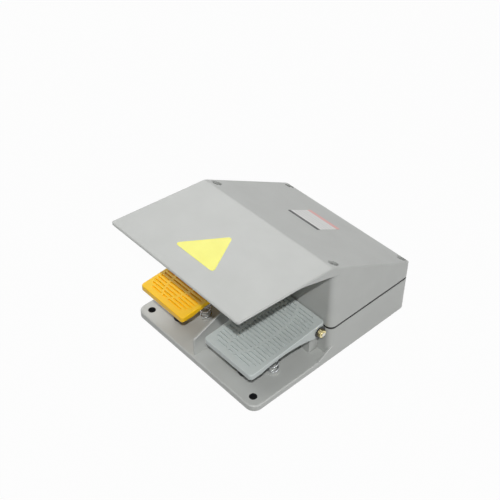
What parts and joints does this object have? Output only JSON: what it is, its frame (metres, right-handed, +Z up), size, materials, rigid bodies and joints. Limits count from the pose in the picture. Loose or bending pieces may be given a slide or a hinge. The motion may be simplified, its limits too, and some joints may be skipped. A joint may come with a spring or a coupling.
{
  "type": "industrial foot switch",
  "caption": "Guarded twin-pedal foot switch: die-cast base and cover with a sloping roof and guard plate, hinged grooved pedals on springs, push rods and snap switches.",
  "frame": {"origin": "middle of the underside of the whole object: on the floor, midway between the guard's front edge and the cable gland's end", "axes": "+X to the operator's right, +Y from the pedals to the rear housing, +Z up"},
  "size_m": [0.2, 0.28, 0.1489],
  "materials": {
    "painted_casting": "light grey powder coat on die-cast aluminium",
    "yellow_paint": "yellow-orange enamel on die-cast aluminium",
    "seal_rubber": "matt black moulded rubber",
    "zinc_steel": "zinc-plated steel",
    "spring_steel": "bright spring steel",
    "bronze": "sintered bronze",
    "switch_moulding": "black phenolic moulding",
    "plunger_moulding": "red acetal",
    "strip_moulding": "off-white polyamide",
    "contact_brass": "tinned brass",
    "black_moulding": "black polyamide",
    "yellow_zinc_steel": "yellow-passivated zinc-plated steel",
    "zinc_flake_steel": "dull grey zinc-flake coated steel"
  },
  "bodies": {
    "frame": {"base_casting": "painted_casting", "divider_wall": "painted_casting", "top_cover": "painted_casting", "cover_seal": "seal_rubber", "cover_screws": "zinc_flake_steel", "left_pivot_bracket": "painted_casting", "left_spring_seats": "painted_casting", "left_axle": "zinc_steel", "left_axle_washers": "black_moulding", "left_axle_nut": "yellow_zinc_steel", "left_pedal_left_spring": "spring_steel", "left_pedal_right_spring": "spring_steel", "left_stop_bumper": "seal_rubber", "left_rod_guide": "bronze", "left_switch_body": "switch_moulding", "left_switch_terminals": "contact_brass", "left_switch_screws": "zinc_steel", "right_pivot_bracket": "painted_casting", "right_spring_seats": "painted_casting", "right_axle": "zinc_steel", "right_axle_washers": "black_moulding", "right_axle_nut": "yellow_zinc_steel", "right_pedal_left_spring": "spring_steel", "right_pedal_right_spring": "spring_steel", "right_stop_bumper": "seal_rubber", "right_rod_guide": "bronze", "right_switch_body": "switch_moulding", "right_switch_terminals": "contact_brass", "right_switch_screws": "zinc_steel", "terminal_strip": "strip_moulding", "terminal_strip_contacts": "contact_brass", "terminal_strip_screws": "zinc_steel", "earth_screw": "zinc_steel", "earth_washer": "zinc_steel", "gland_body": "black_moulding", "gland_lock_nut": "black_moulding", "gland_cap_nut": "black_moulding", "gland_seal": "seal_rubber"},
    "left_pedal": {"left_pedal": "yellow_paint", "left_pedal_bushes": "bronze"},
    "left_push_rod": {"left_push_rod": "zinc_steel", "left_rod_clip": "spring_steel"},
    "left_switch_plunger": {"left_switch_plunger": "plunger_moulding"},
    "right_pedal": {"right_pedal": "painted_casting", "right_pedal_bushes": "bronze"},
    "right_push_rod": {"right_push_rod": "zinc_steel", "right_rod_clip": "spring_steel"},
    "right_switch_plunger": {"right_switch_plunger": "plunger_moulding"}
  },
  "joints": [
    {"name": "left_pedal_hinge", "type": "hinge", "parent": "frame", "child": "left_pedal", "pos_m": [-0.05525, -0.017, 0.0455], "axis": [1, 0, 0], "range_deg": [0, 10], "stiffness_Nm_per_rad": 6, "springref_deg": -6.88, "deforming": ["left_pedal_left_spring", "left_pedal_right_spring"]},
    {"name": "left_rod_slide", "type": "slide", "parent": "frame", "child": "left_push_rod", "axis": [0, 1, 0], "range_m": [0, 0.00349]},
    {"name": "left_plunger_slide", "type": "slide", "parent": "frame", "child": "left_switch_plunger", "axis": [0, 1, 0], "range_m": [0, 0.00349]},
    {"name": "right_pedal_hinge", "type": "hinge", "parent": "frame", "child": "right_pedal", "pos_m": [0.05525, -0.017, 0.0455], "axis": [1, 0, 0], "range_deg": [0, 10], "stiffness_Nm_per_rad": 6, "springref_deg": -6.88, "deforming": ["right_pedal_left_spring", "right_pedal_right_spring"]},
    {"name": "right_rod_slide", "type": "slide", "parent": "frame", "child": "right_push_rod", "axis": [0, 1, 0], "range_m": [0, 0.00349]},
    {"name": "right_plunger_slide", "type": "slide", "parent": "frame", "child": "right_switch_plunger", "axis": [0, 1, 0], "range_m": [0, 0.00349]}
  ],
  "couplings": [
    {"joint": "left_rod_slide", "follows": "left_pedal_hinge", "m_per_rad": 0.0194},
    {"joint": "left_plunger_slide", "follows": "left_pedal_hinge", "m_per_rad": 0.0194},
    {"joint": "right_rod_slide", "follows": "right_pedal_hinge", "m_per_rad": 0.0194},
    {"joint": "right_plunger_slide", "follows": "right_pedal_hinge", "m_per_rad": 0.0194}
  ]
}
